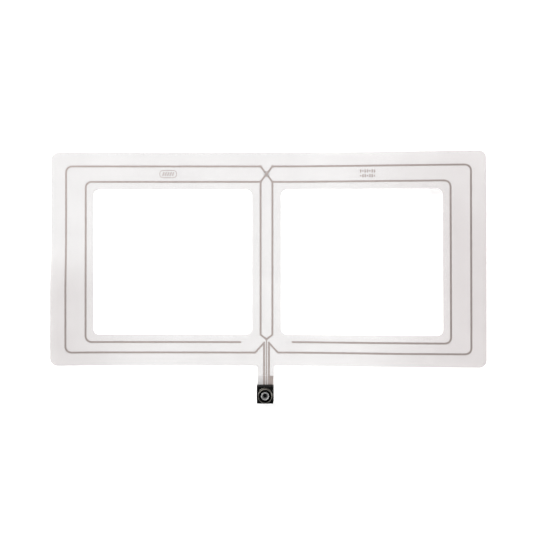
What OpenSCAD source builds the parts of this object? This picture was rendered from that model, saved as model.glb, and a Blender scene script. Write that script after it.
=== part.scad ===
// Printed antenna panel: a die-cut polyester laminate with a figure-eight loop printed in
// silver ink, and a flexible tail that carries a coaxial jack.
// The panel lies in XY with the print facing +Z. The tail points to -Y.
// Z = 0 is the lowest point of the terminal joints behind the jack.

/* [Film] */
// Width of the panel
film_w = 265; // [262:1:300]
// Height of the panel, without its tail
film_h = 131; // [128:1:150]
// Radius of the panel's outer corners
film_r = 4.5; // [2:0.5:8]
// Thickness of the base film
base_t = 0.25; // [0.15:0.05:0.4]
// Thickness of the adhesive layer that holds the print
bond_t = 0.12; // [0.12:0.02:0.2]
// Thickness of the cover film
cover_t = 0.125; // [0.075:0.025:0.2]

/* [Windows] */
// Width of the strip between the two windows
window_gap = 17.8; // [14:0.2:20]
// Distance from the centreline to the far edge of a window
window_reach = 106.6; // [100:0.2:108]
// Top edge of the windows, above the middle of the panel
window_top = 42.8; // [38:0.2:45]
// Bottom edge of the windows, below the middle of the panel
window_bottom = 46.5; // [40:0.5:48]
// Radius of the window corners
window_r = 3.7; // [2:0.1:6]

/* [Printed tracks] */
// Width of the loop and stub tracks
track_w = 1.2; // [0.8:0.1:1.3]
// Thickness of the silver ink
ink_t = 0.04; // [0.02:0.01:0.04]
// Radius of the track corners, at the middle of the track
track_r = 3.7; // [2:0.1:5]
// Outer loop, distance from the centreline to its far side
loop_reach = 123.4; // [120:0.2:126]
// Outer loop, height of its top side above the middle of the panel
loop_top = 57; // [55:0.5:60]
// Outer loop, depth of its bottom side below the middle of the panel
loop_bottom = 57.5; // [55:0.5:60]
// Inner stub, distance from the centreline to its far side
stub_reach = 111.3; // [110:0.1:114]
// Inner stub, height of its top side above the middle of the panel
stub_top = 47.5; // [46:0.5:50]
// Inner stub, depth of its bottom side below the middle of the panel
stub_bottom = 51.1; // [50:0.1:53]
// Inner stub, distance from the centreline to its open end
stub_end = 16; // [12:1:40]
// Distance from the centreline to each centre track
column_x = 3.64; // [3:0.02:5]
// Depth at which the centre tracks bend inwards
column_bottom = 46.6; // [44:0.2:47]
// Depth of the point where the centre tracks meet
joint_depth = 49.3; // [48.5:0.1:50]
// Side of the insulating patch under the bridge
patch_w = 3.8; // [3:0.2:5]

/* [Tail] */
// Width of the tail
tail_w = 10.3; // [10:0.1:12]
// Length of the tail from the panel to the jack
tail_l = 11.6; // [11:0.2:14]
// Sideways offset of the tail from the print's centreline
tail_offset = -0.5; // [-0.6:0.1:0]
// Radius of the fillets where the tail meets the panel
root_r = 0.8; // [0.4:0.2:2]
// Width of the two side feeds
side_feed_w = 1.2; // [0.8:0.1:1.3]
// Distance from the centre feed to each side feed
side_feed_x = 1.5; // [1.4:0.1:1.8]
// Depth at which the side feeds turn into the loops
side_feed_top = 51.3; // [51:0.1:52]
// Distance from the centreline to the foot of each loop's diagonal
diagonal_x = 7; // [6:0.5:9]
// Width of the centre feed
centre_feed_w = 0.7; // [0.5:0.1:0.8]
// Length of the tail, from the panel, at which it flexes
flex_l = 3.5; // [3:0.1:4]
// Slit in the film at the flex line
flex_gap = 0.8; // [0.7:0.1:1]
// Length of tail between the panel and the stiffener
bare_l = 6.3; // [6:0.1:7.5]
// Thickness of the stiffener
stiffener_t = 0.5; // [0.3:0.1:0.8]
// Thickness of the stiffener's adhesive
stiffener_bond_t = 0.1; // [0.05:0.05:0.15]

/* [Jack] */
// Width of the housing
jack_w = 10; // [10:0.1:11]
// Length of the housing along the tail
jack_l = 10.5; // [10:0.1:11]
// Height of the housing with its base plate
jack_h = 7.7; // [7:0.1:10]
// Thickness of the base plate
jack_base_t = 1; // [0.8:0.1:1.5]
// Sideways offset of the jack from the print's centreline
jack_offset = -0.9; // [-1:0.1:0]
// Outer diameter of the shell
shell_d = 8.3; // [8.3:0.1:8.4]
// Wall of the shell
shell_t = 0.5; // [0.3:0.1:0.5]
// Diameter of the shell's collar, where it passes through the housing
collar_d = 8.7; // [8.5:0.1:8.8]
// Height of the shell above the housing
shell_h = 5; // [4:0.5:8]
// Diameter of the hole in the centre contact
contact_bore = 3.2; // [3.2:0.05:3.3]
// Outer diameter of the centre contact
contact_d = 4.8; // [4.6:0.1:5]
// Height of the terminal joints behind the stiffener
joint_h = 0.4; // [0.3:0.1:0.6]

/* [Hidden] */
$fn = 96;

// The sheet's own frame has its origin at the middle of the panel. It is moved along Y so
// that the whole object, jack included, is centred on the origin.
total_l = film_h + tail_l + jack_l;
sheet_y = (total_l - film_h) / 2;

// Levels through the laminate and the jack
stiffener_z = joint_h;
stiffener_bond_z = stiffener_z + stiffener_t;
base_z = stiffener_bond_z + stiffener_bond_t;
ink_z = base_z + base_t;
cover_z = ink_z + bond_t;
jack_z = ink_z + ink_t;
housing_z = jack_z + jack_base_t;
housing_top = jack_z + jack_h;

// Radius of the round pads where tracks join
joint_pad_r = track_w * 0.7;

// Places along the tail, in the sheet's frame
tail_root = -film_h / 2;
flex_y = tail_root - flex_l;
stiffener_y = tail_root - bare_l;
jack_near = tail_root - tail_l;
jack_far = jack_near - jack_l;
jack_y = jack_near - jack_l / 2;

// Inside of the jack
housing_wall = 0.65;
housing_roof = 1.6;
edge_r = 0.3;
flange_t = 0.4;
flange_play = 0.1;
shell_bore = shell_d - 2 * shell_t;
shell_foot = housing_top - housing_roof;
shell_top = housing_top + shell_h;
insulator_z = housing_z + 2.2;
insulator_top = shell_top - 3.8;
contact_top = shell_top - 0.2;
contact_floor_t = 0.4;
contact_flange_d = 6.2;
contact_flange_t = 0.5;
mouth_d = 4.3;
mouth_h = 0.7;

// Terminals: thickness, width, and how far a tip stays above the lowest point
terminal_t = 0.4;
terminal_w = 1.5;
terminal_tip = 0.1;
ground_x = 3.6;
slot_play = 0.05;
pad_r = 1.3;
side_pad_r = 1;
bead_r = 1.05;

// Printed marks
mark_y = 52.3;
badge_x = -60.5;
badge_w = 10.8;
badge_h = 4.9;
badge_line = 0.4;
badge_bars = 5;
code_x = 61.7;
code_w = 9.8;
code_line_h = 1.9;
code_pitch_y = 2.9;
code_marks = 7;
code_dash_share = 0.6;
code_short_share = 0.5;

film_colour = [0.95, 0.94, 0.95];
clear_colour = [0.93, 0.93, 0.95, 0.35];
ink_colour = [0.56, 0.51, 0.50];
patch_colour = [0.86, 0.86, 0.84];
stiffener_colour = [0.80, 0.66, 0.58];
plastic_colour = [0.06, 0.06, 0.06];
nickel_colour = [0.70, 0.69, 0.66];
tin_colour = [0.60, 0.62, 0.62];

// Turns a right-hand shape into the left-hand one
module mirrored() {
    mirror([1, 0, 0])
        children();
}

// The right-hand shape for side 1, the left-hand one for side -1
module on_side(side) {
    mirror([side < 0 ? 1 : 0, 0, 0])
        children();
}

// ---- Plane shapes, in the sheet's frame ----

module round_rect(w, h, r) {
    square([w - 2 * r, h], center = true);
    square([w, h - 2 * r], center = true);
    for (x = [-1, 1], y = [-1, 1])
        translate([x * (w / 2 - r), y * (h / 2 - r)])
            circle(r);
}

// A straight printed line with round ends
module line(p, q, w) {
    d = q - p;
    translate(p)
        rotate(atan2(d[1], d[0]))
            translate([0, -w / 2])
                square([norm(d), w]);
    translate(p)
        circle(d = w);
    translate(q)
        circle(d = w);
}

// A quarter turn of a printed line, starting at angle a about its centre
module bend(centre, r, a, w) {
    translate(centre)
        rotate(a)
            intersection() {
                difference() {
                    circle(r + w / 2);
                    circle(r - w / 2);
                }
                square(r + w);
            }
}

// Three sides of a loop, open towards the centreline
module three_sides(reach, top, bottom, top_from, bottom_from, w) {
    x = reach - track_r;
    line([top_from, top], [x, top], w);
    bend([x, top - track_r], track_r, 0, w);
    line([reach, top - track_r], [reach, -bottom + track_r], w);
    bend([x, -bottom + track_r], track_r, -90, w);
    line([bottom_from, -bottom], [x, -bottom], w);
}

module windows_2d() {
    w = window_reach - window_gap / 2;
    h = window_top + window_bottom;
    for (side = [-1, 1])
        translate([side * (window_gap + w) / 2, (window_top - window_bottom) / 2])
            round_rect(w, h, window_r);
}

// A concave fillet in the corner at the origin, filling towards +X and -Y
module root_fillet() {
    difference() {
        translate([0, -root_r])
            square(root_r);
        translate([root_r, -root_r])
            circle(root_r);
    }
}

module tail_strip(from_y, to_y) {
    translate([tail_offset - tail_w / 2, to_y])
        square([tail_w, from_y - to_y]);
}

// Outline of the film on the panel's side of the flex line
module panel_2d() {
    difference() {
        round_rect(film_w, film_h, film_r);
        windows_2d();
    }
    tail_strip(tail_root + 1, flex_y + flex_gap / 2);
    for (side = [-1, 1])
        translate([tail_offset + side * tail_w / 2, tail_root])
            on_side(side)
                root_fillet();
}

module loop_2d() {
    feed_end = flex_y + flex_gap / 2;
    translate([side_feed_x - side_feed_w / 2, feed_end])
        square([side_feed_w, -side_feed_top - feed_end]);
    line([side_feed_x, -side_feed_top], [diagonal_x, -loop_bottom], track_w);
    three_sides(loop_reach, loop_top, loop_bottom, column_x, diagonal_x, track_w);
}

module stub_2d() {
    three_sides(stub_reach, stub_top, stub_bottom, column_x, stub_end, track_w);
}

module column_2d() {
    line([column_x, stub_top], [column_x, -column_bottom], track_w);
    line([column_x, -column_bottom], [0, -joint_depth], track_w);
}

module centre_feed_2d() {
    feed_end = flex_y + flex_gap / 2;
    translate([-centre_feed_w / 2, feed_end])
        square([centre_feed_w, -joint_depth - feed_end]);
    translate([0, -joint_depth])
        circle(joint_pad_r);
}

// The crossing that falls from left to right, with a round pad at each end
module crossing_2d() {
    line([-column_x, loop_top], [column_x, stub_top], track_w);
    translate([-column_x, loop_top])
        circle(joint_pad_r);
    translate([column_x, stub_top])
        circle(joint_pad_r);
}

module patch_2d() {
    translate([0, (loop_top + stub_top) / 2])
        round_rect(patch_w, patch_w, 0.5);
}

// A stadium outline with slanted bars in it
module badge_2d() {
    inner_w = badge_w - 2 * badge_line;
    inner_h = badge_h - 2 * badge_line;
    bar_w = 0.7;
    bar_h = 2.6;
    bar_pitch = 1.5;
    translate([badge_x, mark_y]) {
        difference() {
            round_rect(badge_w, badge_h, badge_h / 2 - 0.05);
            round_rect(inner_w, inner_h, inner_h / 2 - 0.05);
        }
        for (i = [0:badge_bars - 1])
            translate([(i - (badge_bars - 1) / 2) * bar_pitch, 0])
                rotate(-20)
                    square([bar_w, bar_h], center = true);
    }
}

// Two rows of plain dashes
module code_2d() {
    pitch = code_w / code_marks;
    dash = pitch * code_dash_share;
    for (row = [-1, 1], i = [0:code_marks - 1]) {
        share = (i + row + 1) % 3 == 0 ? code_short_share : 1;
        translate([code_x + (i - (code_marks - 1) / 2) * pitch, mark_y + row * code_pitch_y / 2])
            square([dash, code_line_h * share], center = true);
    }
}

// Pads and fingers on the jack's side of the flex line
module pad_2d(x, r) {
    translate([jack_offset + x, jack_y])
        circle(r);
}

module terminal_2d(x, play) {
    translate([jack_offset + x, jack_y])
        square(x == 0 ? [terminal_w + play, terminal_t + play] : [terminal_t + play, terminal_w + play],
            center = true);
}

module terminals_2d(play) {
    for (x = [-ground_x, 0, ground_x])
        terminal_2d(x, play);
}

module side_finger_2d(side) {
    start = flex_y - flex_gap / 2;
    knee = jack_near - 1;
    pad_x = jack_offset + side * ground_x;
    translate([side * side_feed_x - side_feed_w / 2, knee])
        square([side_feed_w, start - knee]);
    line([side * side_feed_x, knee], [pad_x, knee - 2.5], side_feed_w);
    line([pad_x, knee - 2.5], [pad_x, jack_y], side_feed_w);
    pad_2d(side * ground_x, side_pad_r);
}

// The right finger widens into a pad that reaches the stiffener's edge
module wide_pad_2d() {
    left = side_feed_x - side_feed_w / 2;
    right = tail_offset + tail_w / 2 - 0.6;
    translate([left, jack_near - 1])
        square([right - left, stiffener_y - jack_near + 1]);
}

module jack_outline_2d() {
    translate([jack_offset, jack_y])
        round_rect(jack_w, jack_l, edge_r);
}

// ---- Pieces ----

// Stands plane shapes of the sheet's frame up as a layer at height z
module layer(z, t) {
    translate([0, sheet_y, z])
        linear_extrude(t)
            children();
}

// Puts solids made round the jack's own axis into place
module at_jack(z) {
    translate([jack_offset, sheet_y + jack_y, z])
        children();
}

module base_film() {
    color(film_colour)
        layer(base_z, base_t)
            panel_2d();
}

module cover_film() {
    color(clear_colour)
        layer(cover_z, cover_t)
            panel_2d();
}

module panel_ink() {
    layer(ink_z, ink_t) {
        for (side = [-1, 1])
            on_side(side) {
                loop_2d();
                stub_2d();
                column_2d();
            }
        centre_feed_2d();
        crossing_2d();
        badge_2d();
        code_2d();
    }
}

module laminating_adhesive() {
    color(clear_colour)
        difference() {
            layer(ink_z, bond_t)
                panel_2d();
            panel_ink();
            layer(ink_z, 2 * ink_t)
                patch_2d();
            layer(ink_z, bond_t)
                mirrored()
                    crossing_2d();
        }
}

module left_loop_track() {
    color(ink_colour)
        layer(ink_z, ink_t)
            difference() {
                mirrored()
                    loop_2d();
                crossing_2d();
            }
}

module right_loop_track() {
    color(ink_colour)
        layer(ink_z, ink_t)
            mirrored()
                difference() {
                    mirrored()
                        loop_2d();
                    crossing_2d();
                }
}

module left_stub_track() {
    color(ink_colour)
        layer(ink_z, ink_t)
            mirrored()
                free_stub_2d();
}

module right_stub_track() {
    color(ink_colour)
        layer(ink_z, ink_t)
            free_stub_2d();
}

module free_stub_2d() {
    difference() {
        stub_2d();
        column_2d();
        crossing_2d();
    }
}

module free_column_2d() {
    difference() {
        intersection() {
            column_2d();
            translate([0, -film_h / 2])
                square([2 * column_x, film_h]);
        }
        crossing_2d();
        centre_feed_2d();
    }
}

module left_centre_track() {
    color(ink_colour)
        layer(ink_z, ink_t)
            mirrored()
                free_column_2d();
}

module right_centre_track() {
    color(ink_colour)
        layer(ink_z, ink_t)
            free_column_2d();
}

module centre_feed_track() {
    color(ink_colour)
        layer(ink_z, ink_t)
            centre_feed_2d();
}

module lower_crossing_track() {
    color(ink_colour)
        layer(ink_z, ink_t)
            crossing_2d();
}

module crossover_insulator() {
    color(patch_colour)
        difference() {
            layer(ink_z, 2 * ink_t)
                patch_2d();
            layer(ink_z, ink_t)
                crossing_2d();
        }
}

module crossover_bridge() {
    color(ink_colour)
        difference() {
            layer(ink_z, bond_t)
                mirrored()
                    crossing_2d();
            layer(ink_z, 2 * ink_t)
                patch_2d();
        }
}

module badge_print() {
    color(ink_colour)
        layer(ink_z, ink_t)
            badge_2d();
}

module code_print() {
    color(ink_colour)
        layer(ink_z, ink_t)
            code_2d();
}

module tail_film() {
    color(film_colour)
        layer(base_z, base_t)
            difference() {
                tail_strip(flex_y - flex_gap / 2, jack_far);
                terminals_2d(slot_play);
            }
}

module tail_adhesive() {
    color(clear_colour)
        difference() {
            layer(ink_z, bond_t)
                tail_strip(flex_y - flex_gap / 2, stiffener_y);
            layer(ink_z, ink_t) {
                side_finger_2d(-1);
                side_finger_2d(1);
                centre_finger_2d();
            }
        }
}

module tail_cover_film() {
    color(clear_colour)
        layer(cover_z, cover_t)
            tail_strip(flex_y - flex_gap / 2, stiffener_y);
}

module centre_finger_2d() {
    start = flex_y - flex_gap / 2;
    translate([-centre_feed_w / 2, jack_y])
        square([centre_feed_w, start - jack_y]);
    pad_2d(0, pad_r);
}

module left_contact_finger() {
    color(ink_colour)
        layer(ink_z, ink_t)
            difference() {
                side_finger_2d(-1);
                terminals_2d(slot_play);
            }
}

module centre_contact_finger() {
    color(ink_colour)
        layer(ink_z, ink_t)
            difference() {
                centre_finger_2d();
                terminals_2d(slot_play);
            }
}

module right_contact_finger() {
    color(ink_colour)
        layer(ink_z, ink_t)
            difference() {
                union() {
                    side_finger_2d(1);
                    wide_pad_2d();
                }
                terminals_2d(slot_play);
            }
}

module stiffener_2d() {
    margin = 0.4;
    difference() {
        translate([tail_offset - tail_w / 2 + margin, jack_far + margin])
            square([tail_w - 2 * margin, stiffener_y - jack_far - margin]);
        terminals_2d(slot_play);
    }
}

module stiffener_adhesive() {
    color(clear_colour)
        layer(stiffener_bond_z, stiffener_bond_t)
            stiffener_2d();
}

module tail_stiffener() {
    color(stiffener_colour)
        layer(stiffener_z, stiffener_t)
            stiffener_2d();
}

module jack_base() {
    color(plastic_colour)
        layer(jack_z, jack_base_t)
            difference() {
                jack_outline_2d();
                terminals_2d(slot_play);
            }
}

module jack_housing() {
    h = housing_top - housing_z;
    cavity_h = h - housing_roof;
    color(plastic_colour)
        at_jack(housing_z)
            difference() {
                linear_extrude(h)
                    round_rect(jack_w, jack_l, edge_r);
                linear_extrude(cavity_h)
                    square([jack_w - 2 * housing_wall, jack_l - 2 * housing_wall], center = true);
                cylinder(h = h, d = collar_d);
            }
}

// A tube with a collar in the housing's roof and a square flange under it
module outer_shell() {
    flange = [jack_w - 2 * housing_wall - flange_play, jack_l - 2 * housing_wall - flange_play, flange_t];
    color(nickel_colour)
        at_jack(shell_foot)
            difference() {
                union() {
                    translate([-flange[0] / 2, -flange[1] / 2, -flange_t])
                        cube(flange);
                    cylinder(h = housing_roof, d = collar_d);
                    cylinder(h = shell_top - shell_foot, d = shell_d);
                }
                translate([0, 0, -flange_t])
                    cylinder(h = shell_top - shell_foot + flange_t, d = shell_bore);
            }
}

// Fills the shell round the contact, with a narrower neck between the ground terminals
module contact_insulator() {
    h = insulator_top - insulator_z;
    neck_h = shell_foot - flange_t - insulator_z;
    color(plastic_colour)
        at_jack(insulator_z)
            difference() {
                union() {
                    cylinder(h = h, d = contact_flange_d);
                    translate([0, 0, neck_h])
                        cylinder(h = h - neck_h, d = shell_bore);
                }
                cylinder(h = h, d = contact_d);
            }
}

// A round socket with a flared mouth, a closed floor and a foot flange below the insulator
module centre_contact() {
    foot_z = insulator_z - contact_flange_t;
    h = contact_top - foot_z;
    color(tin_colour)
        at_jack(foot_z)
            difference() {
                union() {
                    cylinder(h = h, d = contact_d);
                    cylinder(h = contact_flange_t, d = contact_flange_d);
                }
                translate([0, 0, contact_floor_t])
                    cylinder(h = h - contact_floor_t, d = contact_bore);
                translate([0, 0, h - mouth_h])
                    cylinder(h = mouth_h, d1 = contact_bore, d2 = mouth_d);
            }
}

module terminal(x, top) {
    color(tin_colour)
        layer(terminal_tip, top - terminal_tip)
            terminal_2d(x, 0);
}

module signal_terminal() {
    terminal(0, insulator_z - contact_flange_t);
}

module left_ground_terminal() {
    terminal(-ground_x, shell_foot - flange_t);
}

module right_ground_terminal() {
    terminal(ground_x, shell_foot - flange_t);
}

module terminal_joints() {
    color(tin_colour)
        difference() {
            for (x = [-ground_x, 0, ground_x])
                translate([jack_offset + x, sheet_y + jack_y, 0])
                    cylinder(h = joint_h, r1 = bead_r * 0.6, r2 = bead_r);
            layer(terminal_tip, joint_h)
                terminals_2d(0);
        }
}

base_film();
laminating_adhesive();
cover_film();
left_loop_track();
right_loop_track();
left_stub_track();
right_stub_track();
left_centre_track();
right_centre_track();
centre_feed_track();
lower_crossing_track();
crossover_insulator();
crossover_bridge();
badge_print();
code_print();
tail_film();
tail_adhesive();
tail_cover_film();
left_contact_finger();
centre_contact_finger();
right_contact_finger();
stiffener_adhesive();
tail_stiffener();
jack_base();
jack_housing();
outer_shell();
contact_insulator();
centre_contact();
signal_terminal();
left_ground_terminal();
right_ground_terminal();
terminal_joints();
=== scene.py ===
"""Printed antenna panel: a die-cut plastic laminate with a figure-eight loop in silver ink and a
coaxial jack on its tail. The film pieces are built flat from the frame's boxes, and then laid in
the gentle curl of a thin sheet on a table."""

import math

import bmesh
import bpy
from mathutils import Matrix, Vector, noise
from mathutils.geometry import delaunay_2d_cdt


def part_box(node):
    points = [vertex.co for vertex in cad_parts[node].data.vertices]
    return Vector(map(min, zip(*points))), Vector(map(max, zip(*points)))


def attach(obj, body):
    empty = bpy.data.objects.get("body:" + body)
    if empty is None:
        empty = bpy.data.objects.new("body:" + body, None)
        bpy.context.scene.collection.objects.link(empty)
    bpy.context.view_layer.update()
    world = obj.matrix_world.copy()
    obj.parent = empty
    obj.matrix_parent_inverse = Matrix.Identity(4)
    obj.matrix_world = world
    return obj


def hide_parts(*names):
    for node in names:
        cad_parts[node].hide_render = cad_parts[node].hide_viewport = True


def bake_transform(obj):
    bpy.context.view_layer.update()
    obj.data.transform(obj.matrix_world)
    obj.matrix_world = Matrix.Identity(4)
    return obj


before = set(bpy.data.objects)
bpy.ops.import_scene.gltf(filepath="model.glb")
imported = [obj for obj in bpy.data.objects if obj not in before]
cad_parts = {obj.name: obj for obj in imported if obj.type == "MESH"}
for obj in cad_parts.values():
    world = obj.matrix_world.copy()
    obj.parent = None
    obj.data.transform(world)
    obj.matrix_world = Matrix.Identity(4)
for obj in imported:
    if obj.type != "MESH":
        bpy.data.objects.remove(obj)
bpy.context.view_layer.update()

MM = 0.001

# ---- Places and sizes, from the frame's boxes, in metres ----

film_lo, film_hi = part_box("base_film")
tail_lo, tail_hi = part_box("tail_film")
_, cover_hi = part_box("cover_film")
_, loop_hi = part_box("right_loop_track")
stub_lo, stub_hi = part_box("right_stub_track")
housing_lo, housing_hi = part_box("jack_housing")
base_lo, base_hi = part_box("jack_base")
shell_lo, shell_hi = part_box("outer_shell")
insulator_lo, insulator_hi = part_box("contact_insulator")
contact_lo, contact_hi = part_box("centre_contact")
stiffener_lo, stiffener_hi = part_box("tail_stiffener")
bond_lo, bond_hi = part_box("stiffener_adhesive")
joints_lo, joints_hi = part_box("terminal_joints")
badge_lo, badge_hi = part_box("badge_print")
code_lo, code_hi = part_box("code_print")
patch_lo, patch_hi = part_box("crossover_insulator")
_, bridge_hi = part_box("crossover_bridge")

FILM_H = 131 * MM
FILM_R = 4.5 * MM
HALF_W = film_hi.x
TOP_Y = film_hi.y
MID_Y = TOP_Y - FILM_H / 2
ROOT_Y = TOP_Y - FILM_H
ROOT_R = 0.8 * MM

WINDOW_NEAR = 8.9 * MM
WINDOW_FAR = 106.6 * MM
WINDOW_TOP = MID_Y + 42.8 * MM
WINDOW_BOTTOM = MID_Y - 46.5 * MM
WINDOW_R = 3.7 * MM

TRACK_W = 1.2 * MM
TRACK_R = 3.7 * MM
LOOP_X = loop_hi.x - TRACK_W / 2
LOOP_TOP = MID_Y + 57 * MM
LOOP_BOTTOM = MID_Y - 57.5 * MM
STUB_X = stub_hi.x - TRACK_W / 2
STUB_TOP = MID_Y + 47.5 * MM
STUB_BOTTOM = stub_lo.y + TRACK_W / 2
STUB_END = 16 * MM
COLUMN_X = 3.64 * MM
COLUMN_BOTTOM = MID_Y - 46.6 * MM
JOINT_Y = MID_Y - 49.3 * MM
JOINT_R = 0.7 * TRACK_W
DIAGONAL_X = 7 * MM
FEED_X = 1.5 * MM
FEED_W = 1.2 * MM
FEED_TOP = MID_Y - 51.3 * MM
CENTRE_FEED_W = 0.7 * MM

FILM_Z = film_lo.z
INK_Z = film_hi.z
INK_T = 0.04 * MM
INK_TOP = INK_Z + INK_T
BARE_Y = stiffener_hi.y
LAYER_GAP = 0.01 * MM

JACK_X = (housing_lo.x + housing_hi.x) / 2
JACK_Y = (housing_lo.y + housing_hi.y) / 2
GROUND_X = 3.6 * MM
KNEE_Y = housing_hi.y - 1 * MM
PAD_RIGHT = tail_hi.x - 0.6 * MM

# ---- How the thin sheet lies, and the shade painted where it stands clear ----

CURL_FROM = 12 * MM
CURL_TOP = 10.4 * MM
CURL_BOTTOM = 11 * MM
CURL_SOFT = 0.14
EDGE_LIFT = 2.9 * MM
EDGE_FROM = -98 * MM
EDGE_START_Y = MID_Y + 14 * MM
EDGE_FULL_Y = MID_Y - 22 * MM
SAG = FILM_Z - 0.06 * MM
SAG_REACH = 60 * MM


def smoothstep(a, b, v):
    t = min(1.0, max(0.0, (v - a) / (b - a)))
    return t * t * (3 - 2 * t)


def sheet_lift(x, y):
    """How far the sheet stands above its flat place: its curled right side, the lifted edge at the
    lower left, and the sag down to the table away from the tail."""
    if y < ROOT_Y - 0.01 * MM:
        return 0.0
    run = max(0.0, x - CURL_FROM) / (HALF_W - CURL_FROM)
    run = run * run * (1 + CURL_SOFT) / (run + CURL_SOFT)
    down = (TOP_Y - y) / FILM_H
    curl = CURL_TOP * run * (1 - down) + CURL_BOTTOM * (1 - (1 - run) ** 2) * down
    out = max(0.0, EDGE_FROM - x) / (EDGE_FROM + HALF_W)
    edge = EDGE_LIFT * out * out * smoothstep(EDGE_START_Y, EDGE_FULL_Y, y)
    sag = SAG * smoothstep(0, SAG_REACH, math.hypot(x, max(0.0, y - ROOT_Y)))
    return curl + edge - sag


def standoff_painted_shade(x, y):
    """Painted shade: 0 where the milky sheet is backed by the table, up to 1 where it stands clear and
    looks greyer, stronger on the right and towards its bottom; it darkens the film and ink colours.
    """
    right = smoothstep(30 * MM, 140 * MM, x)
    right *= 0.72 + 0.28 * smoothstep(TOP_Y - 10 * MM, TOP_Y - 50 * MM, y)
    left = 0.66 * smoothstep(-64 * MM, -134 * MM, x)
    left *= smoothstep(EDGE_START_Y, EDGE_FULL_Y, y)
    return min(1.0, right + left)


# ---- Plane outlines ----

def arc_points(centre, radius, start, sweep, count):
    return [
        (centre[0] + radius * math.cos(start + sweep * i / count),
         centre[1] + radius * math.sin(start + sweep * i / count))
        for i in range(count + 1)
    ]


def rounded(corners, closed=True, steps=8):
    """A path through (x, y, radius) corners, with an arc at each corner that has a radius."""
    count = len(corners)
    path = []
    for i, (x, y, radius) in enumerate(corners):
        if radius <= 0 or not (closed or 0 < i < count - 1):
            path.append((x, y))
            continue
        here = Vector((x, y))
        to_last = (Vector(corners[i - 1][:2]) - here).normalized()
        to_next = (Vector(corners[(i + 1) % count][:2]) - here).normalized()
        half = to_last.angle(to_next) / 2
        centre = here + (to_last + to_next).normalized() * (radius / math.sin(half))
        first = here + to_last * (radius / math.tan(half)) - centre
        last = here + to_next * (radius / math.tan(half)) - centre
        start = math.atan2(first.y, first.x)
        sweep = (math.atan2(last.y, last.x) - start + math.pi) % (2 * math.pi) - math.pi
        path += arc_points(centre, radius, start, sweep, steps)
    return path


def spaced(path, step, closed=True):
    """The same path with points added, so that none is more than a step from the next."""
    result = []
    ends = path[1:] + path[:1] if closed else path[1:]
    for a, b in zip(path, ends):
        count = max(1, math.ceil(math.dist(a, b) / step - 1e-6))
        result += [
            (a[0] + (b[0] - a[0]) * i / count, a[1] + (b[1] - a[1]) * i / count)
            for i in range(count)
        ]
    return result if closed else result + [path[-1]]


def rectangle(x0, y0, x1, y1, radius, steps=8):
    corners = [(x0, y0, radius), (x1, y0, radius), (x1, y1, radius), (x0, y1, radius)]
    return rounded(corners, steps=steps)


def circle(x, y, radius, count=64):
    return arc_points((x, y), radius, 0, 2 * math.pi * (1 - 1 / count), count - 1)


def inside(point, outline):
    x, y = point
    odd = False
    for (x0, y0), (x1, y1) in zip(outline, outline[1:] + outline[:1]):
        if (y0 > y) != (y1 > y) and x < x0 + (y - y0) * (x1 - x0) / (y1 - y0):
            odd = not odd
    return odd


# ---- Mesh builders: each adds one closed solid to a bmesh ----

def add_plate(bm, outer, holes, z0, z1, grid=()):
    """A flat plate with holes. Its faces also use the grid's points."""
    points = []
    edges = []
    for loop in [outer, *holes]:
        first = len(points)
        points += loop
        edges += [(first + i, first + (i + 1) % len(loop)) for i in range(len(loop))]
    points += grid
    found, _, faces, *_ = delaunay_2d_cdt([Vector(p) for p in points], edges, [], 0, 1e-8)
    kept = []
    for face in faces:
        middle = sum((found[i] for i in face), Vector((0, 0))) / len(face)
        if inside(middle, outer) and not any(inside(middle, hole) for hole in holes):
            kept.append(face)
    used = sorted({i for face in kept for i in face})
    top = {i: bm.verts.new((found[i].x, found[i].y, z1)) for i in used}
    bottom = {i: bm.verts.new((found[i].x, found[i].y, z0)) for i in used}
    sides = {}
    for face in kept:
        bm.faces.new([top[i] for i in face])
        bm.faces.new([bottom[i] for i in reversed(face)])
        for a, b in zip(face, face[1:] + face[:1]):
            sides[(a, b)] = True
    for a, b in sides:
        if (b, a) not in sides:
            bm.faces.new([top[b], top[a], bottom[a], bottom[b]])


def add_loft(bm, rings, capped=False):
    """A skin through rings of points. It closes on itself, or is capped at its first and last."""
    made = [[bm.verts.new(p) for p in ring] for ring in rings]
    pairs = list(zip(made, made[1:]))
    if not capped:
        pairs.append((made[-1], made[0]))
    for low, high in pairs:
        for i in range(len(low)):
            j = (i + 1) % len(low)
            bm.faces.new([low[i], low[j], high[j], high[i]])
    if capped:
        bm.faces.new(list(reversed(made[0])))
        bm.faces.new(made[-1])


def add_lathe(bm, corners, x, y, count=96, steps=4):
    """A turned solid. Its section is a closed path of (radius, height, corner radius)."""
    section = rounded(corners, steps=steps)
    add_loft(bm, [[(px, py, z) for px, py in circle(x, y, r, count)] for r, z in section])


CAP_STEPS = 5
TIP_SHARE = 0.12
EDGE_WAVE = 1.1 * MM
UNEVEN = 0.02
SIDE_SLOPE = 0.03 * MM


def round_end(path, half):
    """The same path with points of a round end put before it."""
    end = Vector(path[0])
    way = (Vector(path[1]) - end).normalized()
    cap = [
        tuple(end - way * half * math.cos(math.pi / 2 * k / CAP_STEPS))
        for k in range(CAP_STEPS)
    ]
    return cap + path


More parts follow.
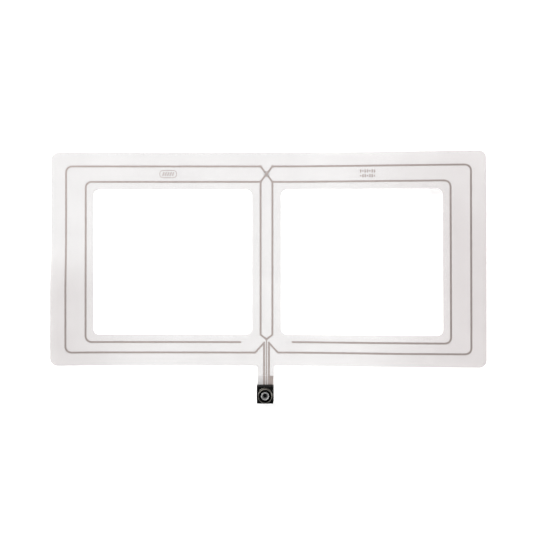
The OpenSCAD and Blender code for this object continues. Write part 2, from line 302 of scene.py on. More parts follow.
def add_ribbon(bm, path, width, z0, z1, step=1 * MM):
    """A printed line along a path, with round ends, a slightly uneven edge and sloping sides."""
    path = round_end(spaced(path, step, closed=False), width / 2)
    path = round_end(path[::-1], width / 2)[::-1]
    final = len(path) - 1
    rings = []
    for i, p in enumerate(path):
        here = Vector(p)
        last = Vector(path[max(0, i - 1)])
        after = Vector(path[min(final, i + 1)])
        a = (here - last).normalized() if i else (after - here).normalized()
        b = (after - here).normalized() if i < final else a
        along = (a + b).normalized()
        across = Vector((-along.y, along.x)) / max(0.6, along.dot(a))
        half = width / 2
        from_end = min(i, final - i)
        if from_end < CAP_STEPS:
            half *= max(TIP_SHARE, math.sin(math.pi / 2 * from_end / CAP_STEPS))
        shift = noise.noise(Vector((p[0], p[1], 0)) / EDGE_WAVE) * UNEVEN * half * 2
        left = here + across * (half + shift)
        right = here - across * (half - shift)
        slope = min(SIDE_SLOPE, half * 0.4)
        left_top = left - across * slope
        right_top = right + across * slope
        rings.append([
            (right.x, right.y, z0), (right_top.x, right_top.y, z1),
            (left_top.x, left_top.y, z1), (left.x, left.y, z0),
        ])
    add_loft(bm, rings, capped=True)


# ---- Materials ----

# Name of the points' painted shade, greyer where the sheet stands clear
STANDOFF_SHADE = "standoff"


def new_material(name, colour, roughness, metallic=0.0, specular=0.5, alpha=1.0):
    material = bpy.data.materials.new(name)
    material.use_nodes = True
    nodes = material.node_tree.nodes
    shader = nodes["Principled BSDF"]
    shader.inputs["Base Color"].default_value = (*colour, 1)
    shader.inputs["Roughness"].default_value = roughness
    shader.inputs["Metallic"].default_value = metallic
    shader.inputs["Specular IOR Level"].default_value = specular
    shader.inputs["Alpha"].default_value = alpha
    where = nodes.new("ShaderNodeTexCoord").outputs["Object"]
    return material, shader, where


def add_noise(material, where, size, detail=3, stretch=(1, 1, 1)):
    """A noise pattern whose features are about size metres wide."""
    tree = material.node_tree
    mapping = tree.nodes.new("ShaderNodeMapping")
    mapping.inputs["Scale"].default_value = stretch
    texture = tree.nodes.new("ShaderNodeTexNoise")
    texture.inputs["Scale"].default_value = 1 / size
    texture.inputs["Detail"].default_value = detail
    tree.links.new(where, mapping.inputs["Vector"])
    tree.links.new(mapping.outputs["Vector"], texture.inputs["Vector"])
    return texture.outputs["Fac"]


def add_cells(material, where, size):
    """A cell pattern whose cells are about size metres wide."""
    tree = material.node_tree
    texture = tree.nodes.new("ShaderNodeTexVoronoi")
    texture.inputs["Scale"].default_value = 1 / size
    tree.links.new(where, texture.inputs["Vector"])
    return texture.outputs["Distance"]


def ramp(material, fac, low, high, a, b):
    """Maps fac, from low to high, onto the range a to b: numbers or colours."""
    tree = material.node_tree
    if isinstance(a, (int, float)):
        node = tree.nodes.new("ShaderNodeMapRange")
        for key, value in (("From Min", low), ("From Max", high), ("To Min", a), ("To Max", b)):
            node.inputs[key].default_value = value
        tree.links.new(fac, node.inputs["Value"])
        return node.outputs["Result"]
    node = tree.nodes.new("ShaderNodeValToRGB")
    node.color_ramp.elements[0].position = low
    node.color_ramp.elements[0].color = (*a, 1)
    node.color_ramp.elements[1].position = high
    node.color_ramp.elements[1].color = (*b, 1)
    tree.links.new(fac, node.inputs["Fac"])
    return node.outputs["Color"]


def mix(material, fac, a, b):
    """Mixes two colour outputs by fac."""
    tree = material.node_tree
    node = tree.nodes.new("ShaderNodeMix")
    node.data_type = "RGBA"
    tree.links.new(fac, node.inputs["Factor"])
    tree.links.new(a, node.inputs[6])
    tree.links.new(b, node.inputs[7])
    return node.outputs[2]


def set_bump(material, shader, height, distance):
    """Bumps of the given height, in metres, on the shader's surface."""
    tree = material.node_tree
    node = tree.nodes.new("ShaderNodeBump")
    node.inputs["Strength"].default_value = 1.0
    node.inputs["Distance"].default_value = distance
    tree.links.new(height, node.inputs["Height"])
    tree.links.new(node.outputs["Normal"], shader.inputs["Normal"])


def add_standoff_painted_shade(material):
    """The sheet's painted standoff shade, as stored on its points."""
    node = material.node_tree.nodes.new("ShaderNodeAttribute")
    node.attribute_name = STANDOFF_SHADE
    return node.outputs["Fac"]


def film_material():
    """Milky polyester: faint clouding, a matte grain and a few fine specks, with painted shade that
    turns it grey where the sheet stands clear.
    """
    m, shader, where = new_material("milky_film", (0.87, 0.855, 0.852), 0.5, alpha=0.7, specular=0.35)
    cloud = add_noise(m, where, 22 * MM, detail=4)
    speck = add_cells(m, where, 4.5 * MM)
    clear = ramp(m, cloud, 0.35, 0.65, (0.815, 0.802, 0.800), (0.845, 0.834, 0.832))
    dust = ramp(m, cloud, 0.2, 0.8, (0.60, 0.57, 0.55), (0.66, 0.63, 0.61))
    spot = ramp(m, speck, 0.02, 0.045, 1.0, 0.0)
    # Painted shade: the grey film colour where the sheet stands clear of the table
    grey = ramp(m, cloud, 0.35, 0.65, (0.635, 0.592, 0.590), (0.660, 0.620, 0.618))
    backed = mix(m, add_standoff_painted_shade(m), clear, grey)
    m.node_tree.links.new(mix(m, spot, backed, dust), shader.inputs["Base Color"])
    grain = add_noise(m, where, 0.35 * MM)
    m.node_tree.links.new(ramp(m, grain, 0.3, 0.7, 0.42, 0.58), shader.inputs["Roughness"])
    set_bump(m, shader, grain, 0.004 * MM)
    return m


def cover_material():
    """Clear matte film over the print: almost invisible, with a fine texture."""
    m, shader, where = new_material("clear_cover", (0.85, 0.84, 0.84), 0.4, alpha=0.08)
    grain = add_noise(m, where, 0.25 * MM)
    haze = add_noise(m, where, 12 * MM)
    tone = ramp(m, haze, 0.3, 0.7, (0.83, 0.82, 0.82), (0.87, 0.865, 0.865))
    m.node_tree.links.new(tone, shader.inputs["Base Color"])
    m.node_tree.links.new(ramp(m, grain, 0.3, 0.7, 0.34, 0.48), shader.inputs["Roughness"])
    set_bump(m, shader, grain, 0.003 * MM)
    return m


def ink_material():
    """Silver-filled ink: brownish grey, with flakes that glint a little, and painted shade that darkens
    it where the sheet stands clear."""
    m, shader, where = new_material("silver_ink", (0.35, 0.3, 0.28), 0.5, metallic=0.3)
    flake = add_cells(m, where, 0.09 * MM)
    patchy = add_noise(m, where, 1.6 * MM)
    dark = ramp(m, patchy, 0.3, 0.7, (0.325, 0.272, 0.252), (0.375, 0.320, 0.298))
    light = ramp(m, patchy, 0.3, 0.7, (0.415, 0.355, 0.333), (0.47, 0.405, 0.381))
    glint = ramp(m, flake, 0.25, 0.6, 1.0, 0.0)
    backed = mix(m, glint, dark, light)
    # Painted shade: darker ink where the sheet stands clear of the table
    painted_shade_tone = ramp(m, patchy, 0.3, 0.7, (0.20, 0.160, 0.150), (0.25, 0.205, 0.190))
    ink_with_painted_shade = mix(m, add_standoff_painted_shade(m), backed, painted_shade_tone)
    m.node_tree.links.new(ink_with_painted_shade, shader.inputs["Base Color"])
    m.node_tree.links.new(ramp(m, flake, 0.1, 0.6, 0.36, 0.6), shader.inputs["Roughness"])
    set_bump(m, shader, flake, 0.01 * MM)
    return m


def patch_material():
    """Almost clear insulating varnish."""
    m, shader, where = new_material("insulating_varnish", (0.7, 0.7, 0.67), 0.3, alpha=0.1)
    blotch = add_noise(m, where, 0.8 * MM)
    tone = ramp(m, blotch, 0.3, 0.7, (0.57, 0.57, 0.54), (0.66, 0.66, 0.63))
    m.node_tree.links.new(tone, shader.inputs["Base Color"])
    set_bump(m, shader, blotch, 0.01 * MM)
    return m


def stiffener_material():
    """Pale pinkish polyester board with faint rolling marks."""
    m, shader, where = new_material("stiffener_board", (0.93, 0.87, 0.84), 0.5, specular=0.4)
    streak = add_noise(m, where, 0.5 * MM, stretch=(1, 0.12, 1))
    grain = add_noise(m, where, 0.15 * MM)
    tone = ramp(m, streak, 0.3, 0.7, (0.915, 0.855, 0.825), (0.940, 0.885, 0.858))
    m.node_tree.links.new(tone, shader.inputs["Base Color"])
    m.node_tree.links.new(ramp(m, grain, 0.3, 0.7, 0.42, 0.6), shader.inputs["Roughness"])
    set_bump(m, shader, grain, 0.01 * MM)
    return m


def adhesive_material():
    """Clear pressure-sensitive adhesive, faintly warm."""
    m, shader, where = new_material("clear_adhesive", (0.9, 0.85, 0.81), 0.3, alpha=0.35)
    blotch = add_noise(m, where, 0.6 * MM)
    tone = ramp(m, blotch, 0.3, 0.7, (0.875, 0.825, 0.785), (0.915, 0.870, 0.835))
    m.node_tree.links.new(tone, shader.inputs["Base Color"])
    set_bump(m, shader, blotch, 0.01 * MM)
    return m


def plastic_material():
    """Black moulded plastic with a fine spark-eroded grain."""
    m, shader, where = new_material("black_moulding", (0.003, 0.003, 0.003), 0.55, specular=0.06)
    grain = add_noise(m, where, 0.12 * MM)
    flow = add_noise(m, where, 2.5 * MM)
    tone = ramp(m, flow, 0.3, 0.7, (0.002, 0.002, 0.002), (0.005, 0.005, 0.0052))
    m.node_tree.links.new(tone, shader.inputs["Base Color"])
    m.node_tree.links.new(ramp(m, grain, 0.3, 0.7, 0.42, 0.62), shader.inputs["Roughness"])
    set_bump(m, shader, grain, 0.006 * MM)
    return m


def fade_up(material, where, z_low, z_high):
    """0 below z_low and 1 above z_high, in metres."""
    split = material.node_tree.nodes.new("ShaderNodeSeparateXYZ")
    material.node_tree.links.new(where, split.inputs["Vector"])
    return ramp(material, split.outputs["Z"], z_low, z_high, 0.0, 1.0)


def fade_out_from_axis(material, where, r_low, r_high):
    """0 nearer than r_low to the jack's axis and 1 beyond r_high, in metres."""
    tree = material.node_tree
    away = tree.nodes.new("ShaderNodeVectorMath")
    away.operation = "SUBTRACT"
    away.inputs[1].default_value = (JACK_X, JACK_Y, 0)
    flat = tree.nodes.new("ShaderNodeVectorMath")
    flat.operation = "MULTIPLY"
    flat.inputs[1].default_value = (1, 1, 0)
    length = tree.nodes.new("ShaderNodeVectorMath")
    length.operation = "LENGTH"
    tree.links.new(where, away.inputs[0])
    tree.links.new(away.outputs["Vector"], flat.inputs[0])
    tree.links.new(flat.outputs["Vector"], length.inputs[0])
    return ramp(material, length.outputs["Value"], r_low, r_high, 0.0, 1.0)


def nickel_material():
    """Nickel plate with turning marks: painted shade makes it nearly black inside the tube, brighter
    plate outside.
    """
    m, shader, where = new_material("nickel_plate", (0.2, 0.195, 0.18), 0.3, metallic=1.0)
    turned = add_noise(m, where, 0.25 * MM, stretch=(0.2, 0.2, 3))
    tarnish = add_noise(m, where, 1.4 * MM)
    # Painted shade: nearly black plate in the bore, within 3.82 mm of the axis
    dark = ramp(m, tarnish, 0.35, 0.7, (0.030, 0.029, 0.027), (0.050, 0.048, 0.045))
    worn = ramp(m, tarnish, 0.35, 0.7, (0.135, 0.126, 0.105), (0.27, 0.258, 0.232))
    outside = fade_out_from_axis(m, where, 3.82 * MM, 4.02 * MM)
    m.node_tree.links.new(mix(m, outside, dark, worn), shader.inputs["Base Color"])
    m.node_tree.links.new(ramp(m, turned, 0.3, 0.7, 0.22, 0.40), shader.inputs["Roughness"])
    set_bump(m, shader, turned, 0.004 * MM)
    return m


def tin_material():
    """Dull tin plate, with painted shade that darkens it deep in the contact's bore."""
    m, shader, where = new_material("tin_plate", (0.3, 0.3, 0.3), 0.42, metallic=1.0)
    dull = add_noise(m, where, 0.5 * MM)
    # Painted shade: darker tin deep in the bore, fading to plain tin 3 mm below the contact's top
    painted_shade_tone = ramp(m, dull, 0.3, 0.7, (0.105, 0.105, 0.105), (0.145, 0.145, 0.145))
    open_part = ramp(m, dull, 0.3, 0.7, (0.52, 0.52, 0.517), (0.68, 0.68, 0.674))
    mouth = fade_up(m, where, contact_hi.z - 4.2 * MM, contact_hi.z - 3.0 * MM)
    m.node_tree.links.new(mix(m, mouth, painted_shade_tone, open_part), shader.inputs["Base Color"])
    m.node_tree.links.new(ramp(m, dull, 0.3, 0.7, 0.36, 0.55), shader.inputs["Roughness"])
    set_bump(m, shader, dull, 0.006 * MM)
    return m


def solder_material():
    """Dull solder."""
    m, shader, where = new_material("solder", (0.5, 0.5, 0.49), 0.4, metallic=1.0)
    dull = add_noise(m, where, 0.4 * MM)
    tone = ramp(m, dull, 0.3, 0.7, (0.44, 0.44, 0.43), (0.60, 0.60, 0.585))
    m.node_tree.links.new(tone, shader.inputs["Base Color"])
    m.node_tree.links.new(ramp(m, dull, 0.3, 0.7, 0.3, 0.5), shader.inputs["Roughness"])
    set_bump(m, shader, dull, 0.012 * MM)
    return m


MATERIALS = {
    "film": film_material(),
    "clear_film": cover_material(),
    "silver_ink": ink_material(),
    "dielectric": patch_material(),
    "stiffener": stiffener_material(),
    "adhesive": adhesive_material(),
    "black_plastic": plastic_material(),
    "nickel": nickel_material(),
    "tin": tin_material(),
}


# ---- Making pieces ----

SHARP_ANGLE = math.radians(35)


def make_piece(name, bm, slot, nodes, body, laid=False):
    """Turns a bmesh into a piece that stands for CAD nodes. body is one name, or "tail" for a piece that
    runs along the tail, which is attached to no body."""
    if laid:
        # Paints the standoff shade onto the points, then lifts them into the sheet's curl
        tone = bm.verts.layers.float.new(STANDOFF_SHADE)
        for v in bm.verts:
            v[tone] = standoff_painted_shade(v.co.x, v.co.y)
            v.co.z += sheet_lift(v.co.x, v.co.y)
    bmesh.ops.recalc_face_normals(bm, faces=bm.faces)
    mesh = bpy.data.meshes.new(name)
    bm.to_mesh(mesh)
    bm.free()
    mesh.shade_smooth()
    mesh.set_sharp_from_angle(angle=SHARP_ANGLE)
    mesh.materials.append(MATERIALS[slot])
    obj = bpy.data.objects.new(name, mesh)
    bpy.context.scene.collection.objects.link(obj)
    if body == "tail":
        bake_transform(obj)
    else:
        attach(obj, body)
    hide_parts(*nodes)
    return obj


# ---- The laminate ----

PANEL_STEP = 2 * MM
TAIL_STEP = 0.35 * MM
TAIL_COLUMNS = 6
NEAR_TAIL = 8 * MM
TINY = 1e-7


def sheet_outline(end_y):
    """The die-cut outline, panel and tail, down to end_y."""
    corners = [
        (tail_lo.x, end_y, 0), (tail_hi.x, end_y, 0),
        (tail_hi.x, ROOT_Y, ROOT_R), (HALF_W, ROOT_Y, FILM_R),
        (HALF_W, TOP_Y, FILM_R), (-HALF_W, TOP_Y, FILM_R),
        (-HALF_W, ROOT_Y, FILM_R), (tail_lo.x, ROOT_Y, ROOT_R),
    ]
    return spaced_tail(spaced(rounded(corners), PANEL_STEP))


def spaced_tail(path):
    """Adds points along the tail's sides, where the sheet bends."""
    result = []
    for a, b in zip(path, path[1:] + path[:1]):
        low = max(a[1], b[1]) <= ROOT_Y + TINY
        near = max(abs(a[0]), abs(b[0])) < NEAR_TAIL
        step = TAIL_STEP if low and near else PANEL_STEP
        result += spaced([a, b], step, closed=False)[:-1]
    return result


def windows():
    """The outlines of the left window and the right one."""
    return [
        spaced(rectangle(left, WINDOW_BOTTOM, right, WINDOW_TOP, WINDOW_R), PANEL_STEP)
        for left, right in ((-WINDOW_FAR, -WINDOW_NEAR), (WINDOW_NEAR, WINDOW_FAR))
    ]


def sheet_grid(end_y):
    """Points inside the sheet, close enough together to curve smoothly."""
    clear = 0.6 * PANEL_STEP
    points = []
    for i in range(1, int(2 * HALF_W / PANEL_STEP)):
        for j in range(1, int(FILM_H / PANEL_STEP)):
            x, y = -HALF_W + i * PANEL_STEP, ROOT_Y + j * PANEL_STEP
            in_window = (WINDOW_NEAR - clear < abs(x) < WINDOW_FAR + clear
                         and WINDOW_BOTTOM - clear < y < WINDOW_TOP + clear)
            if HALF_W - abs(x) > clear and TOP_Y - y > clear and not in_window:
                points.append((x, y))
    rows = int((ROOT_Y - end_y) / TAIL_STEP)
    for i in range(1, TAIL_COLUMNS):
        x = tail_lo.x + (tail_hi.x - tail_lo.x) * i / TAIL_COLUMNS
        points += [(x, ROOT_Y - j * TAIL_STEP) for j in range(rows)]
    return points


bm = bmesh.new()
add_plate(bm, sheet_outline(tail_lo.y), windows(), FILM_Z, INK_Z, sheet_grid(tail_lo.y))
make_piece("film_base_sheet", bm, "film", ["base_film", "tail_film"], "tail", laid=True)

bm = bmesh.new()
add_plate(bm, sheet_outline(BARE_Y), windows(), INK_Z + LAYER_GAP, cover_hi.z, sheet_grid(BARE_Y))
make_piece("film_cover_sheet", bm, "clear_film",
           ["cover_film", "tail_cover_film", "laminating_adhesive", "tail_adhesive"], "tail", laid=True)

# ---- The print ----

INK_BOTTOM = INK_Z + 0.002 * MM
LOOP_INK_TOP = INK_TOP - 0.003 * MM
COLUMN_INK_TOP = INK_TOP + 0.003 * MM
WIDE_PAD_TOP = INK_TOP + 0.004 * MM
ROUND_PAD_TOP = INK_TOP + 0.006 * MM
LOWER_CROSSING_TOP = INK_TOP + 0.002 * MM
CROSSING_PAD_RISE = 0.004 * MM
SIGNAL_PAD_R = 1.3 * MM
PAD_POINTS = 32
SMALL_BEND_R = 0.6 * MM
KNEE_R = 0.8 * MM
KNEE_DROP = 2.5 * MM


def mirrored(path, side):
    return [(side * p[0], *p[1:]) for p in path]


def add_side_feed(bm, side):
    """The loop from its joint pad at the top, round to the feed and down the tail to its terminal."""
    foot_x = JACK_X * side + GROUND_X
    loop = rounded([
        (COLUMN_X, LOOP_TOP, 0), (LOOP_X, LOOP_TOP, TRACK_R), (LOOP_X, LOOP_BOTTOM, TRACK_R),
        (DIAGONAL_X, LOOP_BOTTOM, 0.5 * MM), (FEED_X, FEED_TOP - 0.2 * MM, 0),
    ], closed=False)
    bend = spaced([(FEED_X, ROOT_Y), (FEED_X, BARE_Y)], TAIL_STEP, closed=False)
    feed = [(FEED_X, FEED_TOP), *bend]
    foot = rounded([
        (FEED_X, BARE_Y, 0), (FEED_X, KNEE_Y, KNEE_R), (foot_x, KNEE_Y - KNEE_DROP, KNEE_R),
        (foot_x, JACK_Y, 0),
    ], closed=False)
    add_ribbon(bm, mirrored(loop, side), TRACK_W, INK_BOTTOM, LOOP_INK_TOP)
    add_ribbon(bm, mirrored(feed + foot[1:], side), FEED_W, INK_BOTTOM, INK_TOP)


bm = bmesh.new()
add_side_feed(bm, -1)
make_piece("left_loop_ink", bm, "silver_ink",
           ["left_loop_track", "left_contact_finger"], "tail", laid=True)

bm = bmesh.new()
add_side_feed(bm, 1)
wide_pad = rectangle(FEED_X - FEED_W / 2, KNEE_Y, PAD_RIGHT, BARE_Y, 0.15 * MM, steps=3)
add_plate(bm, wide_pad, [], INK_BOTTOM, WIDE_PAD_TOP)
make_piece("right_loop_ink", bm, "silver_ink",
           ["right_loop_track", "right_contact_finger"], "tail", laid=True)

bm = bmesh.new()
bend = spaced([(0, ROOT_Y), (0, BARE_Y)], TAIL_STEP, closed=False)
feed = [(0, JOINT_Y), *bend, (0, JACK_Y)]
add_ribbon(bm, feed, CENTRE_FEED_W, INK_BOTTOM, INK_TOP)
add_plate(bm, circle(0, JOINT_Y, JOINT_R, PAD_POINTS), [], INK_BOTTOM, ROUND_PAD_TOP)
add_plate(bm, circle(JACK_X, JACK_Y, SIGNAL_PAD_R, PAD_POINTS), [], INK_BOTTOM, ROUND_PAD_TOP)
make_piece("centre_feed_ink", bm, "silver_ink",
           ["centre_feed_track", "centre_contact_finger"], "tail", laid=True)

for side, word in ((-1, "left"), (1, "right")):
    bm = bmesh.new()
    stub = rounded([(COLUMN_X, STUB_TOP, 0), (STUB_X, STUB_TOP, TRACK_R),
                    (STUB_X, STUB_BOTTOM, TRACK_R), (STUB_END, STUB_BOTTOM, 0)], closed=False)
    add_ribbon(bm, mirrored(stub, side), TRACK_W, INK_BOTTOM, INK_TOP)
    make_piece(f"{word}_stub_ink", bm, "silver_ink", [f"{word}_stub_track"], "panel", laid=True)
    bm = bmesh.new()
    column = rounded([(COLUMN_X, STUB_TOP, 0), (COLUMN_X, COLUMN_BOTTOM, SMALL_BEND_R),
                      (0, JOINT_Y, 0)], closed=False)
    add_ribbon(bm, mirrored(column, side), TRACK_W, INK_BOTTOM, COLUMN_INK_TOP)
    make_piece(f"{word}_centre_ink", bm, "silver_ink", [f"{word}_centre_track"], "panel", laid=True)


def add_crossing(bm, side, z0, z1):
    """A crossing that falls from left to right for side 1, with a round pad at each end."""
    top, foot = (-side * COLUMN_X, LOOP_TOP), (side * COLUMN_X, STUB_TOP)
    add_ribbon(bm, [top, foot], TRACK_W, z0, z1, step=0.5 * MM)
    for x, y in (top, foot):
        add_plate(bm, circle(x, y, JOINT_R, PAD_POINTS), [], INK_BOTTOM, z1 + CROSSING_PAD_RISE)


bm = bmesh.new()
add_crossing(bm, 1, INK_BOTTOM, LOWER_CROSSING_TOP)
make_piece("lower_crossing_ink", bm, "silver_ink", ["lower_crossing_track"], "panel", laid=True)

bm = bmesh.new()
patch = spaced(rectangle(patch_lo.x, patch_lo.y, patch_hi.x, patch_hi.y, 0.5 * MM), 0.8 * MM)
add_plate(bm, patch, [], INK_TOP + LAYER_GAP, patch_hi.z)
make_piece("crossover_varnish", bm, "dielectric", ["crossover_insulator"], "panel", laid=True)

bm = bmesh.new()
add_crossing(bm, -1, patch_hi.z, bridge_hi.z)
make_piece("crossover_bridge_ink", bm, "silver_ink", ["crossover_bridge"], "panel", laid=True)

# A stadium outline with slanted bars
BADGE_LINE = 0.4 * MM
BADGE_BARS = 5
BAR_PITCH = 1.5 * MM
BAR_HALF_W = 0.35 * MM
BAR_HALF_H = 1.3 * MM
MARK_R = 0.08 * MM
bm = bmesh.new()
badge_r = (badge_hi.y - badge_lo.y) / 2 - 0.05 * MM
outer = spaced(rectangle(badge_lo.x, badge_lo.y, badge_hi.x, badge_hi.y, badge_r), MM)
inner = spaced(rectangle(badge_lo.x + BADGE_LINE, badge_lo.y + BADGE_LINE, badge_hi.x - BADGE_LINE,
                         badge_hi.y - BADGE_LINE, badge_r - BADGE_LINE), MM)
add_plate(bm, outer, [inner], INK_BOTTOM, INK_TOP)
badge_x, badge_y = (badge_lo.x + badge_hi.x) / 2, (badge_lo.y + badge_hi.y) / 2
lean = math.radians(-20)
for i in range(BADGE_BARS):
    x = badge_x + (i - (BADGE_BARS - 1) / 2) * BAR_PITCH
    bar = [
        (x + u * math.cos(lean) - v * math.sin(lean),
         badge_y + u * math.sin(lean) + v * math.cos(lean))
        for u, v in rectangle(-BAR_HALF_W, -BAR_HALF_H, BAR_HALF_W, BAR_HALF_H, MARK_R, steps=3)
    ]
    add_plate(bm, bar, [], INK_BOTTOM, INK_TOP)
make_piece("badge_ink", bm, "silver_ink", ["badge_print"], "panel", laid=True)

# Two rows of plain dashes
CODE_MARKS = 7
CODE_H = 1.9 * MM
CODE_PITCH = 1.4 * MM
CODE_ROW = 1.45 * MM
DASH_HALF_W = 0.42 * MM
bm = bmesh.new()
code_x, code_y = (code_lo.x + code_hi.x) / 2, (code_lo.y + code_hi.y) / 2
for row in (-1, 1):
    for i in range(CODE_MARKS):
        x = code_x + (i - (CODE_MARKS - 1) / 2) * CODE_PITCH
        y = code_y + row * CODE_ROW
        half_h = CODE_H / 2 * (0.5 if (i + row + 1) % 3 == 0 else 1)
        dash = rectangle(x - DASH_HALF_W, y - half_h, x + DASH_HALF_W, y + half_h, MARK_R, steps=3)
        add_plate(bm, dash, [], INK_BOTTOM, INK_TOP)
make_piece("code_ink", bm, "silver_ink", ["code_print"], "panel", laid=True)

# ---- The tail's end ----


def ring_of(outline, z):
    return [(x, y, z) for x, y in outline]


BOX_STEPS = 6


def inset_box(lo, hi, inset, radius, step):
    """A rounded rectangle inside a box's plan, with as many points whatever its inset."""
    corners = rectangle(lo.x + inset, lo.y + inset, hi.x - inset, hi.y - inset, radius, steps=BOX_STEPS)
    count = max(1, round((hi.x - lo.x) / step))
    result = []
    for i, (a, b) in enumerate(zip(corners, corners[1:] + corners[:1])):
        parts = count if i % (BOX_STEPS + 1) == BOX_STEPS else 1
        result += [(a[0] + (b[0] - a[0]) * k / parts, a[1] + (b[1] - a[1]) * k / parts)
                   for k in range(parts)]
    return result


EDGE_STEPS = 4


def add_block(bm, lo, hi, corner_r, edge_r):
    """A plate with rounded corners and softened edges."""
    rings = []
    for z_edge, sign in ((lo.z, 1), (hi.z, -1)):
        for k in range(EDGE_STEPS + 1)[::sign]:
            a = math.pi / 2 * k / EDGE_STEPS
            inset = edge_r * (1 - math.sin(a))
            z = z_edge + sign * edge_r * (1 - math.cos(a))
            outline = inset_box(lo, hi, inset, max(corner_r - inset, 0.02 * MM), MM)
            rings.append(ring_of(outline, z))
    add_loft(bm, rings, capped=True)


bm = bmesh.new()
add_block(bm, stiffener_lo, stiffener_hi, 0.3 * MM, 0.08 * MM)
make_piece("stiffener_board", bm, "stiffener", ["tail_stiffener"], "jack_end")

bm = bmesh.new()
add_block(bm, bond_lo, bond_hi, 0.25 * MM, 0.03 * MM)
make_piece("stiffener_bond", bm, "adhesive", ["stiffener_adhesive"], "jack_end")

bm = bmesh.new()
BEAD_R = joints_hi.x - JACK_X - GROUND_X
top = joints_hi.z
for x in (-GROUND_X, 0, GROUND_X):
    add_lathe(bm, [
        (0.02 * MM, joints_lo.z, 0), (0.45 * MM, joints_lo.z, 0.2 * MM),
        (0.75 * MM, joints_lo.z + 0.14 * MM, 0.3 * MM), (BEAD_R, top, 0), (0.02 * MM, top, 0),
    ], JACK_X + x, JACK_Y, count=40)
beads = make_piece("terminal_beads", bm, "tin", ["terminal_joints"], "jack_end")
solder = solder_material()
beads.data.materials[0] = solder

# ---- The jack ----

bm = bmesh.new()
add_block(bm, base_lo, base_hi, 0.3 * MM, 0.1 * MM)
make_piece("jack_base_plate", bm, "black_plastic", ["jack_base"], "jack_end")

WALL = 0.65 * MM
ROOF = 1.6 * MM
EDGE_R = 0.3 * MM
COLLAR_R = 4.35 * MM
SEAM = 0.08 * MM

TOP_EDGE = 0.25 * MM
TOP_EDGE_STEPS = 5
HOLE_EDGE = 0.12 * MM
HOUSING_STEP = 0.4 * MM

bm = bmesh.new()
# Each ring's inset from the outside, or its hole's radius where it is negative, and its height
plan = [(SEAM, housing_lo.z), (0, housing_lo.z + SEAM)]
for k in range(TOP_EDGE_STEPS + 1):
    a = math.pi / 2 * k / TOP_EDGE_STEPS
    plan.append((TOP_EDGE * (1 - math.cos(a)), housing_hi.z - TOP_EDGE * (1 - math.sin(a))))
for k in range(EDGE_STEPS + 1):
    a = math.pi / 2 * k / EDGE_STEPS
    hole_r = COLLAR_R + HOLE_EDGE * (1 - math.sin(a))
    plan.append((-hole_r, housing_hi.z - HOLE_EDGE * (1 - math.cos(a))))
plan += [(-COLLAR_R, housing_hi.z - ROOF), (WALL, housing_hi.z - ROOF), (WALL, housing_lo.z)]
rings = []
side_ring = inset_box(housing_lo, housing_hi, 0, EDGE_R, HOUSING_STEP)
for inset, z in plan:
    if inset >= 0:
        corner_r = max(EDGE_R - inset, 0.05 * MM)
        ring = inset_box(housing_lo, housing_hi, inset, corner_r, HOUSING_STEP)
    else:
        ring = []
        for x, y in side_ring:
            turn = math.atan2(y - JACK_Y, x - JACK_X)
            ring.append((JACK_X - inset * math.cos(turn), JACK_Y - inset * math.sin(turn)))
    rings.append(ring_of(ring, z))
add_loft(bm, rings)
make_piece("jack_housing_moulding", bm, "black_plastic", ["jack_housing"], "jack_end")

SHELL_R = 4.15 * MM
SHELL_BORE_R = 3.65 * MM

bm = bmesh.new()
collar_top = housing_hi.z + 0.02 * MM
add_lathe(bm, [
    (SHELL_BORE_R, shell_lo.z, 0.05 * MM), (COLLAR_R, shell_lo.z, 0.05 * MM),
    (COLLAR_R, collar_top, 0.06 * MM), (SHELL_R, collar_top, 0.05 * MM),
    (SHELL_R, shell_hi.z, 0.2 * MM), (SHELL_BORE_R, shell_hi.z, 0.2 * MM),
], JACK_X, JACK_Y)
make_piece("jack_outer_shell", bm, "nickel", ["outer_shell"], "jack_end")

NECK_R = 3.1 * MM
CONTACT_R = 2.4 * MM
WELL_R = CONTACT_R + 0.5 * MM
WELL_DEPTH = 0.4 * MM

bm = bmesh.new()
insulator_r = (insulator_hi.x - insulator_lo.x) / 2
well_z = insulator_hi.z - WELL_DEPTH
add_lathe(bm, [
    (CONTACT_R, insulator_lo.z, 0), (NECK_R, insulator_lo.z, 0.05 * MM), (NECK_R, shell_lo.z, 0),
    (insulator_r, shell_lo.z, 0.05 * MM), (insulator_r, insulator_hi.z, 0.15 * MM),
    (WELL_R, insulator_hi.z, 0.1 * MM), (WELL_R, well_z, 0.1 * MM), (CONTACT_R, well_z, 0),
], JACK_X, JACK_Y)
make_piece("jack_insulator", bm, "black_plastic", ["contact_insulator"], "jack_end")

BORE_R = 1.6 * MM
MOUTH_R = 2.15 * MM
MOUTH_DEPTH = 0.7 * MM
FLOOR_T = 0.4 * MM
FLANGE_R = 3.1 * MM
FLANGE_T = 0.5 * MM
AXIS_R = 0.01 * MM

bm = bmesh.new()
bore_floor = contact_lo.z + FLOOR_T
flange_z = contact_lo.z + FLANGE_T
add_lathe(bm, [
    (AXIS_R, contact_lo.z, 0), (FLANGE_R, contact_lo.z, 0.08 * MM), (FLANGE_R, flange_z, 0.08 * MM),
    (CONTACT_R, flange_z, 0.05 * MM), (CONTACT_R, contact_hi.z, 0.1 * MM),
    (MOUTH_R, contact_hi.z, 0.05 * MM), (BORE_R, contact_hi.z - MOUTH_DEPTH, 0.1 * MM),
    (BORE_R, bore_floor, 0.05 * MM), (AXIS_R, bore_floor, 0),
], JACK_X, JACK_Y)
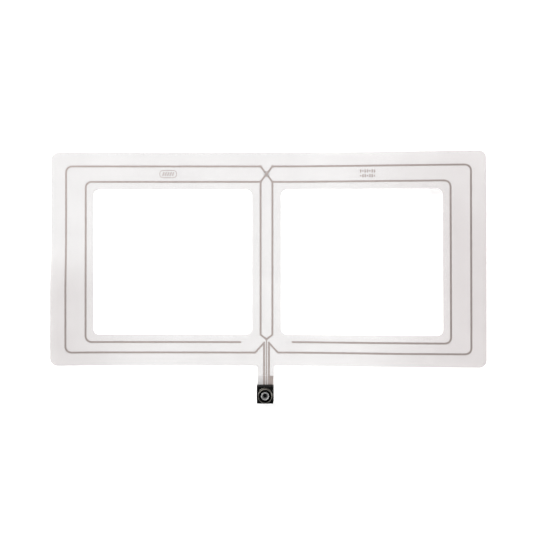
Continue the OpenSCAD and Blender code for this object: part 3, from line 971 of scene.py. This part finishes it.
# Four spring leaves that lean into the bore below its mouth
LEAF_WAIST = contact_hi.z - 3.0 * MM
LEAF_FOOT = contact_hi.z - 5.4 * MM
LEAF_BEND_R = 0.6 * MM
LEAF_START = 8
LEAF_SWEEP = 74
LEAF_STEPS = 12
leaf = rounded([
    (BORE_R, contact_hi.z - 0.75 * MM, 0), (1.06 * MM, LEAF_WAIST, LEAF_BEND_R),
    (1.38 * MM, LEAF_FOOT, 0), (1.50 * MM, LEAF_FOOT, 0),
    (1.22 * MM, LEAF_WAIST, LEAF_BEND_R), (BORE_R, contact_hi.z - 1.2 * MM, 0),
], steps=4)
for quarter in range(4):
    turns = [
        math.radians(quarter * 90 + LEAF_START + LEAF_SWEEP * k / LEAF_STEPS)
        for k in range(LEAF_STEPS + 1)
    ]
    add_loft(bm, [
        [(JACK_X + r * math.cos(turn), JACK_Y + r * math.sin(turn), z) for r, z in leaf]
        for turn in turns
    ], capped=True)
make_piece("jack_centre_contact", bm, "tin", ["centre_contact"], "jack_end")

# CAD nodes that stay as they are get their finish here
for name in ("signal_terminal", "left_ground_terminal", "right_ground_terminal"):
    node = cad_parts[name]
    node.data.materials.clear()
    node.data.materials.append(solder)

# ---- Floor, light and camera ----

floor_mesh = bpy.data.meshes.new("floor")
FLOOR = 3.0
FLOOR_DROP = 0.02 * MM
FLOOR_GLOW = 0.45
floor_mesh.from_pydata(
    [(-FLOOR, -FLOOR, 0), (FLOOR, -FLOOR, 0), (FLOOR, FLOOR, 0), (-FLOOR, FLOOR, 0)],
    [], [(0, 1, 2, 3)],
)
floor = bpy.data.objects.new("floor", floor_mesh)
bpy.context.scene.collection.objects.link(floor)
floor.location.z = -FLOOR_DROP
floor_material, floor_shader, _ = new_material("pale_floor", (0.93, 0.93, 0.93), 0.9, specular=0.0)
floor_shader.inputs["Emission Color"].default_value = (1, 1, 1, 1)
floor_shader.inputs["Emission Strength"].default_value = FLOOR_GLOW
floor_mesh.materials.append(floor_material)


def add_area_light(name, place, size, power):
    """A round light that points at the middle of the object."""
    data = bpy.data.lights.new(name, "AREA")
    data.shape = "DISK"
    data.size = size
    data.energy = power
    obj = bpy.data.objects.new(name, data)
    bpy.context.scene.collection.objects.link(obj)
    obj.location = place
    obj.rotation_euler = (-Vector(place)).to_track_quat("-Z", "Y").to_euler()


add_area_light("key", (-1.7, 1.9, 3.0), size=1.8, power=128)
add_area_light("fill", (2.0, -0.6, 2.2), size=2.0, power=46)

# The sky is white at the horizon and dims upwards
SKY_TONES = ((0.10, 1.0), (0.28, 0.36), (0.95, 0.16))
world = bpy.data.worlds.new("studio")
bpy.context.scene.world = world
world.use_nodes = True
sky = world.node_tree
direction = sky.nodes.new("ShaderNodeTexCoord")
split = sky.nodes.new("ShaderNodeSeparateXYZ")
shade = sky.nodes.new("ShaderNodeValToRGB")
shade.color_ramp.elements.new(0.5)
for stop, (height, tone) in zip(shade.color_ramp.elements, SKY_TONES):
    stop.position = height
    stop.color = (tone, tone, tone, 1)
sky.links.new(direction.outputs["Generated"], split.inputs["Vector"])
sky.links.new(split.outputs["Z"], shade.inputs["Fac"])
sky.links.new(shade.outputs["Color"], sky.nodes["Background"].inputs["Color"])
sky.nodes["Background"].inputs["Strength"].default_value = 1.0

CAMERA_H = 490 * MM
CAMERA_Y = 6.44 * MM
SHEET_LEVEL = 0.45 * MM
VIEW_W = 328.06 * MM
SENSOR = 36.0
camera_data = bpy.data.cameras.new("camera")
camera_data.sensor_width = SENSOR
camera_data.lens = SENSOR * CAMERA_H / VIEW_W
camera_data.clip_start = 0.02
camera_data.clip_end = 20
camera = bpy.data.objects.new("camera", camera_data)
bpy.context.scene.collection.objects.link(camera)
camera.location = (0, CAMERA_Y, CAMERA_H + SHEET_LEVEL)
camera.rotation_euler = (0, 0, 0)
bpy.context.scene.camera = camera
bpy.context.scene.view_settings.view_transform = "Standard"
